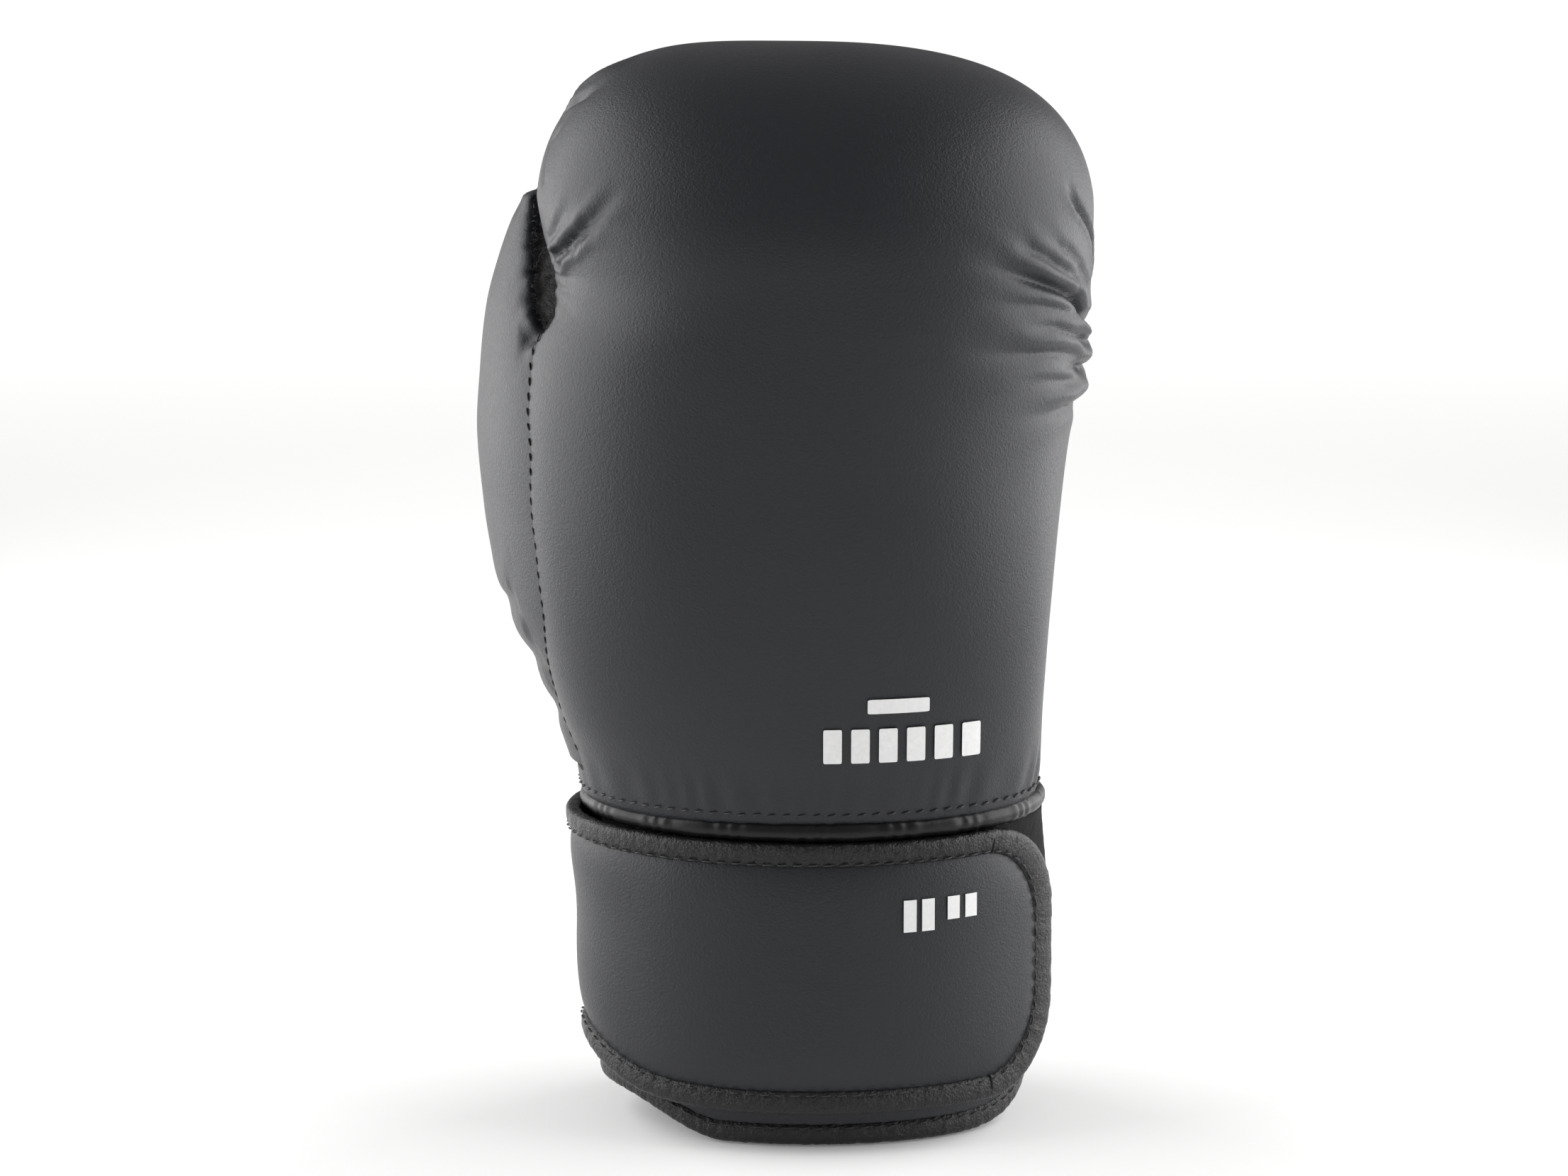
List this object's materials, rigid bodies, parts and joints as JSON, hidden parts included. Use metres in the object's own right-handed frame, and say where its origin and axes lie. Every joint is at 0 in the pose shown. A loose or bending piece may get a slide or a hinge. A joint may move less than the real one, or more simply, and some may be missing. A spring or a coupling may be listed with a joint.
{
  "type": "boxing glove",
  "caption": "Padded right-hand boxing glove with a separate thumb, a bound cuff and a wide hook-and-loop wrist strap that peels open.",
  "frame": {"origin": "under the middle of the glove's overall box, on the plane that the hem stands on", "axes": "+Z from the cuff to the knuckles, +Y out of the palm side, +X to the little-finger side, so the thumb is at -X"},
  "size_m": [0.1629, 0.1205, 0.286],
  "materials": {
    "black_leather": "matte with a fine grain",
    "gloss_trim": "glossy coated tape",
    "napped_fabric": "napped",
    "foam": "open-cell foam, matte",
    "lining_cloth": "woven, matte",
    "hook_and_loop": "felted pile"
  },
  "bodies": {
    "glove": {"back_panel": "black_leather", "palm_panel": "black_leather", "grip_bar": "foam", "outer_foam": "foam", "knuckle_foam_thumb_side": "foam", "knuckle_foam_finger_side": "foam", "fist_foam_thumb_side": "foam", "fist_foam_finger_side": "foam", "palm_pad": "foam", "hand_liner": "lining_cloth", "thumb_outer_panel": "black_leather", "thumb_inner_panel": "napped_fabric", "thumb_foam": "foam", "thumb_liner": "lining_cloth", "cuff_leather": "black_leather", "cuff_foam": "foam", "cuff_lining": "lining_cloth", "hem_binding": "gloss_trim", "slit_binding": "gloss_trim", "wrist_welt": "gloss_trim", "loop_pad": "hook_and_loop", "strap_anchor": "black_leather"},
    "strap_palm": {"strap_palm_lining": "lining_cloth", "strap_palm_pad": "foam", "strap_palm_face": "black_leather", "strap_palm_binding": "gloss_trim"},
    "strap_back": {"strap_back_lining": "lining_cloth", "strap_back_pad": "foam", "strap_back_face": "black_leather", "strap_back_binding": "gloss_trim", "hook_pad": "hook_and_loop"}
  },
  "joints": [
    {"name": "strap_root", "type": "hinge", "parent": "glove", "child": "strap_palm", "pos_m": [0.046, 0.03525, 0.047], "axis": [0, 0, -1], "range_deg": [0, 60]},
    {"name": "strap_peel", "type": "hinge", "parent": "strap_palm", "child": "strap_back", "pos_m": [-0.0556, -0.001, 0.047], "axis": [0, 0, -1], "range_deg": [0, 150]}
  ],
  "couplings": [
    {"joint": "strap_root", "follows": "strap_peel", "ratio": 0.4}
  ]
}
